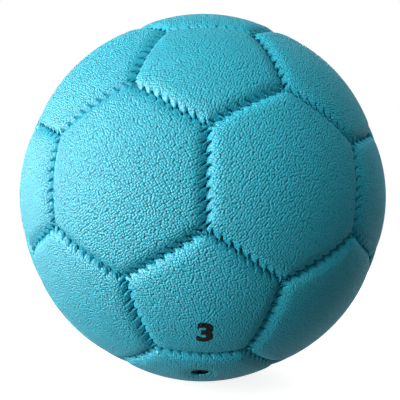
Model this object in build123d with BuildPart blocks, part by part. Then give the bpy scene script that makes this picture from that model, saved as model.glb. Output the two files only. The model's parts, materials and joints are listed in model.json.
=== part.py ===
from build123d import *
from itertools import combinations, product
from math import acos, asin, atan, cos, floor, pi, sin, sqrt, tan
import os

# Handball of size 3: 32 padded panels, sewn edge to edge, round a bladder with a needle valve.
# Millimetres, +Z up, origin at the centre of the ball. -Y is the front: the seam between two
# hexagons crosses it upright, with a pentagon above it and another below.

# Cover: its size over the panels' crowns, and how far the panels' sides lie below those
ball_diameter = 188.0
edge_drop = 1.0

# Layers of a panel, from the outside in
skin_thickness = 1.2
foam_thickness = 3.8
lining_thickness = 1.0
glue_line = 0.1

# Turned-in edges of the skins
seam_gap = 0.5
fold_radius = 1.5
corner_ease = 0.6

# Seam thread, sewn through both turned-in edges
thread_diameter = 0.7
thread_clearance = 0.1
thread_bend_radius = 0.6
stitch_pitch = 4.0
stitch_drop = 0.15
seam_end_margin = 0.6

# Bladder
bladder_clearance = 0.2
bladder_wall = 1.2

# Valve: a flanged rubber housing in the bladder, and the insert that a pump needle goes into
valve_offset = 17.0
valve_recess = 1.0
valve_clearance = 0.1
panel_hole_clearance = 0.3
neck_diameter = 7.0
flange_diameter = 28.0
flange_thickness = 1.4
flange_round_share = 0.5
boss_diameter = 10.0
housing_length = 24.0
insert_length = 19.0
insert_round_share = 0.4
head_diameter = 4.8
head_height = 2.2
shank_diameter = 3.8
bead_diameter = 5.4
bead_height = 2.6
bead_depth = 9.0
needle_diameter = 2.0
needle_clearance = 0.1
needle_depth = 8.0
needle_mouth_diameter = 3.0

# Angles of the cover, from a panel's centre to the middle of its side. All sides are equally long
golden = (1 + sqrt(5)) / 2
pent_sides = 5
hex_sides = 6
hex_angle = atan(1 / golden**2)
pent_angle = acos(golden**2 / sqrt(3 * (golden**2 + 1))) - hex_angle
seam_half_angle = asin(sin(atan(tan(hex_angle) / cos(pi / hex_sides))) * sin(pi / hex_sides))
neighbour_share = 1.2

# Radii of the layers
ball_radius = ball_diameter / 2
edge_radius = ball_radius - edge_drop
foam_depth = skin_thickness + glue_line
foam_floor_radius = ball_radius - foam_depth - foam_thickness
lining_top_radius = foam_floor_radius - glue_line
cover_floor_radius = lining_top_radius - lining_thickness
bladder_radius = cover_floor_radius - bladder_clearance
flange_radius = bladder_radius - bladder_wall - glue_line

# Insets from the seam planes, and the radii of the folds and corners
thread_room = thread_diameter + 2 * thread_clearance
skin_inset = seam_gap / 2
pocket_inset = skin_inset + skin_thickness
pad_inset = pocket_inset + max(fold_radius, thread_room)
skin_fold = fold_radius + skin_thickness

# Stitches of one seam, spread evenly about its middle
thread_radius = thread_diameter / 2
thread_inset = pocket_inset + thread_clearance + thread_radius
stitch_hole_radius = thread_radius + thread_clearance
stitch_radius = edge_radius - skin_fold - stitch_drop - stitch_hole_radius
stitch_reach = stitch_radius * seam_half_angle - pocket_inset - seam_end_margin
stitches_each_way = floor(stitch_reach / stitch_pitch)
stitch_turns = [n * stitch_pitch / stitch_radius for n in range(-stitches_each_way, stitches_each_way + 1)]
stitch_points = [(stitch_radius * sin(turn), stitch_radius * cos(turn)) for turn in stitch_turns]

# The poles of a panel's spheres lie to its sides, so the panel holds no pole
poles_sideways = (90, 0, 0)
upward = (Align.CENTER, Align.CENTER, Align.MIN)


def three_turns(x, y, z):
    """The three directions that turns about the diagonal of the axes make of one."""
    return [Vector(x, y, z).normalized(), Vector(z, x, y).normalized(), Vector(y, z, x).normalized()]


def are_neighbours(centre, other, angle_between):
    """Whether two panels share a seam, from the angle between neighbours' centres."""
    return centre.dot(other) > cos(neighbour_share * angle_between)


def seam_plane(centre, towards, side_angle):
    """Plane of a panel's side: x along the seam, y out of the ball, z across the seam."""
    along = centre.cross(towards).normalized()
    middle = centre * cos(side_angle) + along.cross(centre) * sin(side_angle)
    return Plane(origin=(0, 0, 0), x_dir=along, z_dir=along.cross(middle))


def panel_plane(centre, others):
    """Plane of a panel: z out of its middle, x towards the middle of a side that it shares with others."""
    towards = max(others, key=centre.dot)
    return Plane(origin=(0, 0, 0), x_dir=centre.cross(towards).cross(centre), z_dir=centre)


def side_planes(sides, side_angle):
    """Seam planes round a panel that faces +Z."""
    turns = [2 * pi * side / sides for side in range(sides)]
    return [seam_plane(Vector(0, 0, 1), Vector(cos(turn), sin(turn), 0), side_angle) for turn in turns]


def crown_radius(side_angle):
    """Radius of the dome that passes through a panel's crown and the middles of its sides."""
    edge_out = edge_radius * sin(side_angle)
    edge_fall = ball_radius - edge_radius * cos(side_angle)
    return (edge_out**2 + edge_fall**2) / (2 * edge_fall)


def layer(sides, side_angle, inset, top_radius, top_height, floor_radius):
    """A panel's wedge of the space under a dome and over a floor that is centred on the ball."""
    with BuildPart() as wedge:
        with Locations((0, 0, top_height)):
            Sphere(top_radius, rotation=poles_sideways)
        Sphere(floor_radius, rotation=poles_sideways, mode=Mode.SUBTRACT)
        for plane in side_planes(sides, side_angle):
            split(bisect_by=plane.offset(-inset), keep=Keep.BOTTOM)
    return wedge.part


def folded_layer(sides, side_angle, inset, depth, fold, floor_radius):
    """A layer under a panel's crown, with its corners rounded and its upper edges folded down."""
    dome = crown_radius(side_angle)
    with BuildPart() as folded:
        add(layer(sides, side_angle, inset, dome - depth, ball_radius - dome, floor_radius))
        fillet(folded.edges().filter_by(GeomType.LINE), fold + corner_ease)
        fillet(folded.faces().sort_by(Axis.Z)[-1].edges(), fold)
    return folded.part


def skin(sides, side_angle):
    """A panel's outer skin: a domed pan with turned-in edges, punched for the thread."""
    with BuildPart() as pan:
        add(folded_layer(sides, side_angle, skin_inset, 0, skin_fold, cover_floor_radius))
        pocket_floor_radius = cover_floor_radius - glue_line
        pocket = folded_layer(
            sides, side_angle, pocket_inset, skin_thickness, fold_radius, pocket_floor_radius
        )
        add(pocket, mode=Mode.SUBTRACT)
        for plane in side_planes(sides, side_angle):
            with Locations(*[Location(plane) * Location((x, y, 0)) for x, y in stitch_points]):
                Cylinder(stitch_hole_radius, 2 * pad_inset, mode=Mode.SUBTRACT)
    return pan.part


def foam_pad(sides, side_angle):
    """The foam under a skin, clear of its folded edges and of the thread along them."""
    dome = crown_radius(side_angle)
    return layer(sides, side_angle, pad_inset, dome - foam_depth, ball_radius - dome, foam_floor_radius)


def lining(sides, side_angle):
    """The cloth on the back of a foam pad."""
    return layer(sides, side_angle, pad_inset, lining_top_radius, 0, cover_floor_radius)


def write(piece, name):
    """Labels a finished piece and writes it as its own file."""
    piece.label = name
    export_step(piece, f"parts/{name}.step")


os.makedirs("parts", exist_ok=True)

# Directions of the panels' centres
pent_centres = []
hex_centres = [Vector(x, y, z).normalized() for x, y, z in product((-1, 1), repeat=3)]
for a, b in product((-1, 1), repeat=2):
    pent_centres += three_turns(0, a * golden, b)
    hex_centres += three_turns(0, a / golden, b * golden)
pent_planes = [panel_plane(centre, hex_centres) for centre in pent_centres]
hex_planes = [panel_plane(centre, pent_centres) for centre in hex_centres]

# The valve stands in the hexagon under the front, off its middle towards the front's lower pentagon
valve_panel_centre = Vector(0, -1 / golden, -golden).normalized()
valve_seam = seam_plane(valve_panel_centre, Vector(0, -golden, -1).normalized(), valve_offset / ball_radius)
valve_axis = valve_seam.y_dir
valve_plane = Plane(origin=(0, 0, 0), x_dir=valve_seam.x_dir, z_dir=valve_axis)
valve_top = ball_radius - valve_recess
neck_radius = neck_diameter / 2
panel_hole_radius = neck_radius + panel_hole_clearance

# Skins, one node for each panel
hex_skin = skin(hex_sides, hex_angle)
pent_skin = skin(pent_sides, pent_angle)
plain_hex_planes = [plane for plane in hex_planes if plane.z_dir.dot(valve_panel_centre) < cos(hex_angle)]
valve_panel_plane = panel_plane(valve_panel_centre, pent_centres)
for kind, shape, planes in (("hex", hex_skin, plain_hex_planes), ("pent", pent_skin, pent_planes)):
    for number, plane in enumerate(planes, start=1):
        with BuildPart() as panel:
            with Locations(plane):
                add(shape, clean=False)
        write(panel.part, f"{kind}_panel_{number:02d}")
with BuildPart() as valve_panel:
    with Locations(valve_panel_plane):
        add(hex_skin, clean=False)
    with Locations(valve_plane):
        Cylinder(panel_hole_radius, ball_diameter, align=upward, mode=Mode.SUBTRACT)
write(valve_panel.part, "valve_panel")

# Foam pads and linings, one behind each skin
for kind, sides, side_angle, planes in (
    ("hex", hex_sides, hex_angle, hex_planes),
    ("pent", pent_sides, pent_angle, pent_planes),
):
    backings = (("foam_pads", foam_pad(sides, side_angle)), ("linings", lining(sides, side_angle)))
    for backing_name, shape in backings:
        with BuildPart() as backing:
            with Locations(*planes):
                add(shape, clean=False)
            with Locations(valve_plane):
                Cylinder(panel_hole_radius, ball_diameter, align=upward, mode=Mode.SUBTRACT)
        write(backing.part, f"{kind}_{backing_name}")

# Seam thread: in at one hole and out at the next, along one panel's edge and then along the other's
thread_route = []
for number, (x, y) in enumerate(stitch_points):
    side = thread_inset if number % 2 else -thread_inset
    thread_route += [(x, y, side), (x, y, -side)]
with BuildPart() as seam_thread:
    with BuildLine() as route:
        FilletPolyline(*thread_route, radius=thread_bend_radius)
    with BuildSketch(Plane(origin=route.line @ 0, z_dir=route.line % 0)):
        Circle(thread_radius)
    sweep()

# Seams: 30 between two hexagons and 60 between a hexagon and a pentagon
hex_seams = []
for centre, other in combinations(hex_centres, 2):
    if are_neighbours(centre, other, 2 * hex_angle):
        hex_seams.append(seam_plane(centre, other, hex_angle))
pent_seams = []
for centre, other in product(hex_centres, pent_centres):
    if are_neighbours(centre, other, hex_angle + pent_angle):
        pent_seams.append(seam_plane(centre, other, hex_angle))
for kind, planes in (("hex", hex_seams), ("pent", pent_seams)):
    with BuildPart() as threads:
        with Locations(*planes):
            add(seam_thread.part, clean=False)
    write(threads.part, f"{kind}_seam_threads")

# Bladder, with the hole that the valve's neck passes through
with BuildPart() as bladder:
    Sphere(bladder_radius)
    Sphere(bladder_radius - bladder_wall, mode=Mode.SUBTRACT)
    with Locations(valve_plane):
        Cylinder(neck_radius + valve_clearance, ball_diameter, align=upward, mode=Mode.SUBTRACT)
write(bladder.part, "bladder")


def insert_body(clearance):
    """The valve insert's head, shank and retaining bead, all larger by a clearance."""
    sections = (
        (head_diameter, 0, head_height),
        (shank_diameter, 0, insert_length),
        (bead_diameter, bead_depth, bead_height),
    )
    with BuildPart() as body:
        for diameter, depth, height in sections:
            with Locations(valve_plane.offset(valve_top - depth - height - clearance)):
                Cylinder(diameter / 2 + clearance, height + 2 * clearance, align=upward)
    return body.part


with BuildPart() as valve_insert:
    add(insert_body(0))
    tip_edge = valve_insert.edges().sort_by(Axis((0, 0, 0), valve_axis))[0]
    fillet(tip_edge, insert_round_share * shank_diameter / 2)
    with Locations(valve_plane.offset(valve_top)):
        CounterSinkHole(needle_diameter / 2 + needle_clearance, needle_mouth_diameter / 2, needle_depth)
write(valve_insert.part, "valve_insert")

# Valve housing: a flange inside the bladder, a neck through the cover and a boss round the insert
with BuildPart() as valve_housing:
    with Locations(valve_plane):
        Cylinder(flange_diameter / 2, ball_diameter, align=upward)
    Sphere(flange_radius, mode=Mode.INTERSECT)
    Sphere(flange_radius - flange_thickness, mode=Mode.SUBTRACT)
    flange_edge = valve_housing.edges().sort_by(Axis((0, 0, 0), valve_axis))[0]
    fillet(flange_edge, flange_round_share * flange_thickness)
    housing_foot = valve_top - housing_length
    with Locations(valve_plane.offset(housing_foot)):
        Cylinder(neck_radius, housing_length, align=upward)
        Cylinder(boss_diameter / 2, flange_radius - flange_thickness - housing_foot, align=upward)
    add(insert_body(valve_clearance), mode=Mode.SUBTRACT)
write(valve_housing.part, "valve_housing")
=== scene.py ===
import json
import logging
import math
from dataclasses import dataclass, field
from enum import Enum
from functools import cache
from itertools import product

import bmesh
import bpy
import numpy as np
from mathutils import Matrix, Vector


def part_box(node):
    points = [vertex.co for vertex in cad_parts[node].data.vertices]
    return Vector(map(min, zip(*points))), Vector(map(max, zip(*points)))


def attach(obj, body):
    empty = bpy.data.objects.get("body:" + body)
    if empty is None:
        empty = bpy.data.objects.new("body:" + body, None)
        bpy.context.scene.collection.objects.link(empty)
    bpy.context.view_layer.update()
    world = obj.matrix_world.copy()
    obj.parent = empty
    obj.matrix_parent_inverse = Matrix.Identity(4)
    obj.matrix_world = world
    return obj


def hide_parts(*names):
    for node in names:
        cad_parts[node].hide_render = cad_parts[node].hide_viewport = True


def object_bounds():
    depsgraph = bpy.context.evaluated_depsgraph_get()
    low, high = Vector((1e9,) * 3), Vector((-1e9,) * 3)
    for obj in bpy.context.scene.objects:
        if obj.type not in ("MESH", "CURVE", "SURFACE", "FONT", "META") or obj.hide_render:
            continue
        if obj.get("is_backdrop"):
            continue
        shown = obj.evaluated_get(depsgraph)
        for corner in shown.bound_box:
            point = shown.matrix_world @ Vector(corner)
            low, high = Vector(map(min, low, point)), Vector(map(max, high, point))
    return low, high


# Handball of size 3: a sewn cover of grained leather panels over foam, a bladder and a needle valve.
# Metres, +Z up, origin at the centre of the ball, front at -Y.

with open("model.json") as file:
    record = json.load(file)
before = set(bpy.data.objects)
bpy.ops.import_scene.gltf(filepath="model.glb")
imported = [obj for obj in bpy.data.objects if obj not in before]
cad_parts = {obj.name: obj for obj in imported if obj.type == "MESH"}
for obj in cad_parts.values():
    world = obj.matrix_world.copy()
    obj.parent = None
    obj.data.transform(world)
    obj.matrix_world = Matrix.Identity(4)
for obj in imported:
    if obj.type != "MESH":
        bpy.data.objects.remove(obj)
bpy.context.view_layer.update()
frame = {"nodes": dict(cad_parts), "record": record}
log = logging.getLogger("handball")

ROOT = "root"
HIDE = "hide"
VALVE_PANEL = "valve_panel"
GOLDEN = (1 + math.sqrt(5)) / 2
FULL_TURN = 2 * math.pi
SAME_PLACE = 1e-6
NEARLY_ZERO = 1e-9
WHITE = (1.0, 1.0, 1.0)
BLACK = (0.0, 0.0, 0.0)
Colour = tuple[float, float, float]


def smooth_step(value: np.ndarray, low: np.ndarray | float, high: np.ndarray | float) -> np.ndarray:
    """Rises smoothly from 0 at low to 1 at high."""
    share = np.clip((value - low) / (high - low), 0.0, 1.0)
    return share * share * (3 - 2 * share)


def unit_rows(rows: np.ndarray) -> np.ndarray:
    """Scales each row of an array to length 1."""
    return rows / np.linalg.norm(rows, axis=1, keepdims=True)


def direction(azimuth: float, elevation: float) -> Vector:
    """Direction from the ball's centre by its turn from the front and its height, in degrees."""
    turn, rise = math.radians(azimuth), math.radians(elevation)
    return Vector((math.sin(turn) * math.cos(rise), -math.cos(turn) * math.cos(rise), math.sin(rise)))


def scaled_colour(colour: Colour, share: float) -> tuple[float, float, float, float]:
    """A colour made lighter or darker by a share, as a shader's four values."""
    return (*(channel * share for channel in colour), 1.0)


class PanelKind(Enum):
    """The two outlines that the cover is sewn from, by their number of sides."""

    HEXAGON = 6
    PENTAGON = 5

    @property
    def prefix(self) -> str:
        """How the names of such panels' nodes start."""
        return "hex" if self is PanelKind.HEXAGON else "pent"

    @property
    def side_angle(self) -> float:
        """Angle at the ball's centre from a panel's middle to the middle of one of its sides.

        Returns:
            The angle, in radians.
        """
        hexagon = math.atan(1 / GOLDEN**2)
        if self is PanelKind.HEXAGON:
            return hexagon
        return math.acos(GOLDEN**2 / math.sqrt(3 * (GOLDEN**2 + 1))) - hexagon

    @property
    def half_side(self) -> float:
        """Half the length of a side in the flat net, whose sides stand 1 from its middle."""
        return math.tan(math.pi / self.value)

    def side_turns(self) -> np.ndarray:
        """Angles of the middles of the sides about the panel's axis."""
        return np.arange(self.value) * FULL_TURN / self.value

    def directions(self, flat: np.ndarray) -> np.ndarray:
        """Directions, in a panel's own frame, of points of its flat net, one in each row."""
        out = flat * math.tan(self.side_angle)
        return unit_rows(np.column_stack([out, np.ones(len(out))]))


class Sheet(Enum):
    """The two faces of a panel's net, by the height that they have in the flat net."""

    OUTER = 0.0
    INNER = -1.0


@dataclass
class Graph:
    """A node tree, with short ways to add to it."""

    tree: bpy.types.NodeTree

    def feed(self, node: bpy.types.Node, inputs: dict[str | int, object]) -> None:
        """Sets or links inputs of a node.

        Args:
            node: The node.
            inputs: Values, or output sockets to link, by the input's name or number.
        """
        for name, value in inputs.items():
            if isinstance(value, bpy.types.NodeSocket):
                self.tree.links.new(value, node.inputs[name])
            else:
                node.inputs[name].default_value = value

    def add(self, kind: str, inputs: dict | None = None, **settings: object) -> bpy.types.Node:
        """Adds a node, sets its properties, and sets or links its inputs.

        Args:
            kind: Name of the node type.
            inputs: Values, or output sockets to link, by the input's name or number.
            settings: Properties of the node.

        Returns:
            The new node.
        """
        node = self.tree.nodes.new(kind)
        for name, value in settings.items():
            setattr(node, name, value)
        self.feed(node, inputs or {})
        return node

    def math(
        self, operation: str, first: object, second: object, third: object = 0.0
    ) -> bpy.types.NodeSocket:
        """Adds a Math node and returns its output.

        Args:
            operation: Name of the operation.
            first: First value or socket.
            second: Second value or socket.
            third: Third value or socket, for the operations that have one.

        Returns:
            The result's socket.
        """
        return self.add("ShaderNodeMath", {0: first, 1: second, 2: third}, operation=operation).outputs[0]

    def ramp(self, value: object, low: float, high: float, start: float, end: float) -> bpy.types.NodeSocket:
        """Adds a clamped smooth step from one range to another and returns its output.

        Args:
            value: Value or socket to map.
            low: Value at which the step starts.
            high: Value at which the step ends.
            start: Result at low.
            end: Result at high.

        Returns:
            The result's socket.
        """
        limits = {"Value": value, "From Min": low, "From Max": high, "To Min": start, "To Max": end}
        return self.add("ShaderNodeMapRange", limits, interpolation_type="SMOOTHSTEP").outputs["Result"]

    def scale(self, vector: object, share: object) -> bpy.types.NodeSocket:
        """Adds a node that scales a vector by a value or socket, and returns its output."""
        return self.add("ShaderNodeVectorMath", {0: vector, "Scale": share}, operation="SCALE").outputs[0]

    def in_pitches(self, place: object, pitch: object) -> bpy.types.NodeSocket:
        """Measures a place in pitches of a pattern and returns the result's socket."""
        return self.scale(place, self.math("DIVIDE", 1.0, pitch))

    def mix(self, share: object, first: object, second: object) -> bpy.types.NodeSocket:
        """Adds a colour mix and returns its output.

        Args:
            share: Share of the second colour.
            first: First colour or socket.
            second: Second colour or socket.

        Returns:
            The mixed colour's socket.
        """
        return self.add("ShaderNodeMix", {0: share, 6: first, 7: second}, data_type="RGBA").outputs[2]

    def tones(self, share: object, colour: Colour, spread: float) -> bpy.types.NodeSocket:
        """Mixes a darker and a lighter tone of a colour.

        Args:
            share: Share of the lighter tone.
            colour: The colour.
            spread: How far the tones are from the colour, as a share of it.

        Returns:
            The mixed colour's socket.
        """
        return self.mix(share, scaled_colour(colour, 1 - spread), scaled_colour(colour, 1 + spread))

    def shown(self) -> bpy.types.NodeSocket:
        """Adds a mask of where the camera, a reflection or a clear piece shows the surface.

        Returns:
            The mask's socket.
        """
        rays = self.add("ShaderNodeLightPath").outputs
        seen = self.math("MAXIMUM", rays["Is Camera Ray"], rays["Is Glossy Ray"])
        return self.math("MAXIMUM", seen, rays["Is Transmission Ray"])


def new_group(
    name: str, inputs: dict[str, str], outputs: dict[str, str]
) -> tuple[Graph, dict[str, bpy.types.NodeSocket], bpy.types.Node]:
    """Starts a shader node group.

    Args:
        name: The group's name.
        inputs: Socket types of the inputs, by name.
        outputs: Socket types of the outputs, by name.

    Returns:
        The group's graph, its input sockets by name, and its output node.
    """
    tree = bpy.data.node_groups.new(name, "ShaderNodeTree")
    for socket_name, kind in inputs.items():
        tree.interface.new_socket(socket_name, in_out="INPUT", socket_type=kind)
    for socket_name, kind in outputs.items():
        tree.interface.new_socket(socket_name, in_out="OUTPUT", socket_type=kind)
    graph = Graph(tree)
    start = graph.add("NodeGroupInput")
    end = graph.add("NodeGroupOutput")
    return graph, {socket.name: socket for socket in start.outputs if socket.name}, end


@cache
def pebble_grain() -> bpy.types.NodeTree:
    """Makes the embossed grain of the leather: small rounded pebbles with creases between them.

    Returns:
        The node group, with the grain's height and the mask of its creases.
    """
    stray_scale = 0.8
    unevenness = 0.7
    dome_fall = 2.0
    pore_scale = 3.5
    pore_share = 0.15
    crease_start, crease_end = 0.4, 0.7
    graph, given, end = new_group(
        "pebble_grain",
        {"Vector": "NodeSocketVector", "Pitch": "NodeSocketFloat", "Stray": "NodeSocketFloat"},
        {"Height": "NodeSocketFloat", "Crease": "NodeSocketFloat"},
    )
    even = graph.in_pitches(given["Vector"], given["Pitch"])
    wander = {"Vector": even, "Scale": stray_scale, "Detail": 1.0}
    noise = graph.add("ShaderNodeTexNoise", wander, noise_dimensions="2D")
    stray = graph.scale(noise.outputs["Color"], given["Stray"])
    place = graph.add("ShaderNodeVectorMath", {0: even, 1: stray}, operation="ADD").outputs[0]
    cells = graph.add(
        "ShaderNodeTexVoronoi",
        {"Vector": place, "Scale": 1.0, "Randomness": unevenness},
        feature="F1",
        voronoi_dimensions="2D",
    )
    out = cells.outputs["Distance"]
    pits = {"Vector": place, "Scale": pore_scale, "Detail": 1.0}
    pores = graph.add("ShaderNodeTexNoise", pits, noise_dimensions="2D")
    dome = graph.math("MULTIPLY_ADD", graph.math("MULTIPLY", out, out), -dome_fall, 1.0)
    height = graph.math("MULTIPLY_ADD", pores.outputs["Fac"], pore_share, dome)
    graph.feed(end, {"Height": height, "Crease": graph.ramp(out, crease_start, crease_end, 0.0, 1.0)})
    return graph.tree


@cache
def tone_drift() -> bpy.types.NodeTree:
    """Makes the slow unevenness that every dyed or moulded surface has.

    Returns:
        The node group, with a value about 0.5 that drifts over the surface.
    """
    graph, given, end = new_group(
        "tone_drift",
        {"Vector": "NodeSocketVector", "Pitch": "NodeSocketFloat"},
        {"Drift": "NodeSocketFloat"},
    )
    place = graph.in_pitches(given["Vector"], given["Pitch"])
    noise = graph.add("ShaderNodeTexNoise", {"Vector": place, "Scale": 1.0, "Detail": 3.0})
    graph.feed(end, {"Drift": noise.outputs["Fac"]})
    return graph.tree


@cache
def spun_fibres() -> bpy.types.NodeTree:
    """Makes the fibres of spun thread and woven cloth.

    Returns:
        The node group, with the fibres' height and their uneven tone.
    """
    unevenness = 0.25
    graph, given, end = new_group(
        "spun_fibres",
        {"Vector": "NodeSocketVector", "Pitch": "NodeSocketFloat"},
        {"Height": "NodeSocketFloat", "Tone": "NodeSocketFloat"},
    )
    place = graph.in_pitches(given["Vector"], given["Pitch"])
    fibres = graph.add("ShaderNodeTexNoise", {"Vector": place, "Scale": 1.0, "Detail": 3.0}).outputs["Fac"]
    yarns = graph.add(
        "ShaderNodeTexVoronoi",
        {"Vector": place, "Scale": 1.0, "Randomness": unevenness},
        feature="F1",
        distance="CHEBYCHEV",
    )
    height = graph.math("SUBTRACT", fibres, yarns.outputs["Distance"])
    graph.feed(end, {"Height": height, "Tone": fibres})
    return graph.tree


@cache
def moulded_pores() -> bpy.types.NodeTree:
    """Makes the fine pores of moulded rubber and foam.

    Returns:
        The node group, with the height of the skin round the pores.
    """
    graph, given, end = new_group(
        "moulded_pores",
        {"Vector": "NodeSocketVector", "Pitch": "NodeSocketFloat"},
        {"Height": "NodeSocketFloat"},
    )
    place = graph.in_pitches(given["Vector"], given["Pitch"])
    pores = graph.add("ShaderNodeTexVoronoi", {"Vector": place, "Scale": 1.0}, feature="F1")
    graph.feed(end, {"Height": pores.outputs["Distance"]})
    return graph.tree


def new_material(name: str) -> tuple[bpy.types.Material, Graph, bpy.types.Node, bpy.types.NodeSocket]:
    """Starts a material.

    Args:
        name: The material's name.

    Returns:
        The material, its graph, its Principled shader and the Object coordinates' socket.
    """
    material = bpy.data.materials.new(name)
    material.use_nodes = True
    graph = Graph(material.node_tree)
    place = graph.add("ShaderNodeTexCoord").outputs["Object"]
    return material, graph, material.node_tree.nodes["Principled BSDF"], place


@dataclass(frozen=True)
class Leather:
    """Polyurethane leather or a print on it: a dyed face with embossed pebble grain, and painted shade in
    the grain's creases.

    Attributes:
        name: Name of the material.
        colour: Dye, in linear values.
        grain_pitch: Distance from one pebble to the next.
        grain_depth: Height of a pebble over its creases.
        grain_stray: How far the pebbles stray from their rows, as a share of the pitch.
        crease_painted_shade: Share of the colour that the creases lose, as painted shade.
        crease_rough: How much rougher the creases are.
        drawn_smooth: Share of the grain that is lost where the leather is drawn over a fold.
        drift: How far the dye is uneven, as a share either way.
        drift_pitch: Width of the dye's uneven patches.
        roughness: Roughness of the pebbles' tops.
        gloss: Specular level.
    """

    name: str
    colour: Colour
    grain_pitch: float = 0.00096
    grain_depth: float = 0.00034
    grain_stray: float = 0.35
    crease_painted_shade: float = 0.13
    crease_rough: float = 0.18
    drawn_smooth: float = 0.75
    drift: float = 0.05
    drift_pitch: float = 0.03
    roughness: float = 0.46
    gloss: float = 0.05

    def material(self) -> bpy.types.Material:
        """Builds the material.

        Returns:
            The material.
        """
        material, graph, shader, place = new_material(self.name)
        hide = graph.add("ShaderNodeAttribute", attribute_name=HIDE).outputs["Vector"]
        sizes = {"Vector": hide, "Pitch": self.grain_pitch, "Stray": self.grain_stray}
        grain = graph.add("ShaderNodeGroup", sizes, node_tree=pebble_grain()).outputs
        drawn = graph.add("ShaderNodeSeparateXYZ", {0: hide}).outputs["Z"]
        relief = graph.math("MULTIPLY_ADD", drawn, -self.drawn_smooth, 1.0)
        crease = graph.math("MULTIPLY", grain["Crease"], relief)
        height = graph.math("MULTIPLY", grain["Height"], relief)
        drift = graph.add(
            "ShaderNodeGroup", {"Vector": place, "Pitch": self.drift_pitch}, node_tree=tone_drift()
        )
        dye = graph.tones(drift.outputs["Drift"], self.colour, self.drift)
        # Painted shade: the creases are darkened towards black by a share of the dye.
        shade = graph.math("MULTIPLY", crease, self.crease_painted_shade)
        bump = graph.add("ShaderNodeBump", {"Distance": self.grain_depth, "Height": height})
        graph.feed(
            shader,
            {
                "Base Color": graph.mix(shade, dye, scaled_colour(BLACK, 1.0)),
                "Roughness": graph.math("MULTIPLY_ADD", crease, self.crease_rough, self.roughness),
                "Normal": bump.outputs["Normal"],
                "Specular IOR Level": self.gloss,
            },
        )
        return material


@dataclass(frozen=True)
class Yarn:
    """Spun thread or woven cloth, with a fibre bump and uneven dye.

    Attributes:
        name: Name of the material.
        colour: Dye, in linear values.
        pitch: Distance between two fibres or two yarns.
        depth: Height of the fibre bump.
        drift: How far the dye is uneven, as a share either way.
        roughness: Roughness of the fibres.
        gloss: Specular level.
    """

    name: str
    colour: Colour
    pitch: float
    depth: float
    drift: float = 0.18
    roughness: float = 0.7
    gloss: float = 0.02

    def material(self) -> bpy.types.Material:
        """Builds the material.

        Returns:
            The material.
        """
        material, graph, shader, place = new_material(self.name)
        fibres = graph.add(
            "ShaderNodeGroup", {"Vector": place, "Pitch": self.pitch}, node_tree=spun_fibres()
        ).outputs
        bump = graph.add("ShaderNodeBump", {"Distance": self.depth, "Height": fibres["Height"]})
        graph.feed(
            shader,
            {
                "Base Color": graph.tones(fibres["Tone"], self.colour, self.drift),
                "Roughness": self.roughness,
                "Normal": bump.outputs["Normal"],
                "Specular IOR Level": self.gloss,
            },
        )
        return material


@dataclass(frozen=True)
class Rubber:
    """Moulded rubber or foam: matt, with fine pores and a drifting tone.

    Attributes:
        name: Name of the material.
        colour: Colour, in linear values.
        pore_pitch: Distance between two pores.
        pore_depth: Depth of a pore.
        roughness: Roughness of the moulded skin.
        gloss: Specular level.
        drift: How far the tone is uneven, as a share either way.
        drift_pitch: Width of its uneven patches.
        rough_drift: How far the roughness is uneven either way.
    """

    name: str
    colour: Colour
    pore_pitch: float
    pore_depth: float
    roughness: float
    gloss: float = 0.02
    drift: float = 0.25
    drift_pitch: float = 0.006
    rough_drift: float = 0.12

    def material(self) -> bpy.types.Material:
        """Builds the material.

        Returns:
            The material.
        """
        material, graph, shader, place = new_material(self.name)
        drift = graph.add(
            "ShaderNodeGroup", {"Vector": place, "Pitch": self.drift_pitch}, node_tree=tone_drift()
        ).outputs["Drift"]
        pores = graph.add(
            "ShaderNodeGroup", {"Vector": place, "Pitch": self.pore_pitch}, node_tree=moulded_pores()
        ).outputs["Height"]
        bump = graph.add("ShaderNodeBump", {"Distance": self.pore_depth, "Height": pores})
        smoothest = self.roughness - self.rough_drift
        graph.feed(
            shader,
            {
                "Base Color": graph.tones(drift, self.colour, self.drift),
                "Roughness": graph.math("MULTIPLY_ADD", drift, 2 * self.rough_drift, smoothest),
                "Normal": bump.outputs["Normal"],
                "Specular IOR Level": self.gloss,
            },
        )
        return material


@dataclass(frozen=True)
class Panel:
    """One panel of the cover.

    Attributes:
        node: Name of the node that the panel stands for.
        kind: Its outline.
        axis: Direction of its middle.
        start: Direction, square to the axis, towards the middle of its first side.
    """

    node: str
    kind: PanelKind
    axis: Vector
    start: Vector

    @property
    def basis(self) -> np.ndarray:
        """The panel's own directions as the columns of a matrix, with z out of the ball."""
        return np.column_stack([self.start, self.axis.cross(self.start), self.axis])

    def side_middles(self) -> np.ndarray:
        """Directions of the middles of the panel's sides, one in each row."""
        turns = self.kind.side_turns()
        return self.kind.directions(np.column_stack([np.cos(turns), np.sin(turns)])) @ self.basis.T

    def side_lines(self) -> np.ndarray:
        """Directions of the panel's sides, each with the panel on its left, one in each row."""
        turns = self.kind.side_turns()
        return np.column_stack([-np.sin(turns), np.cos(turns), np.zeros(len(turns))]) @ self.basis.T


@dataclass(frozen=True)
class Seam:
    """One sewn seam.

    Attributes:
        middle: Direction of its middle.
        line: Its direction there, with its first panel on the left.
        kinds: Outlines of the panels on its two sides.
        stitches: Places of the stitches along the line, from the middle, in metres.
        slants: Turn of each strand from square to the seam, in radians.
        lifts: Height of each strand over the usual one, in metres.
        sway: How far the seam strays to its first panel's side, halfway along and at its quarters.
    """

    middle: np.ndarray
    line: np.ndarray
    kinds: set[PanelKind]
    stitches: np.ndarray
    slants: np.ndarray
    lifts: np.ndarray
    sway: np.ndarray


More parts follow.
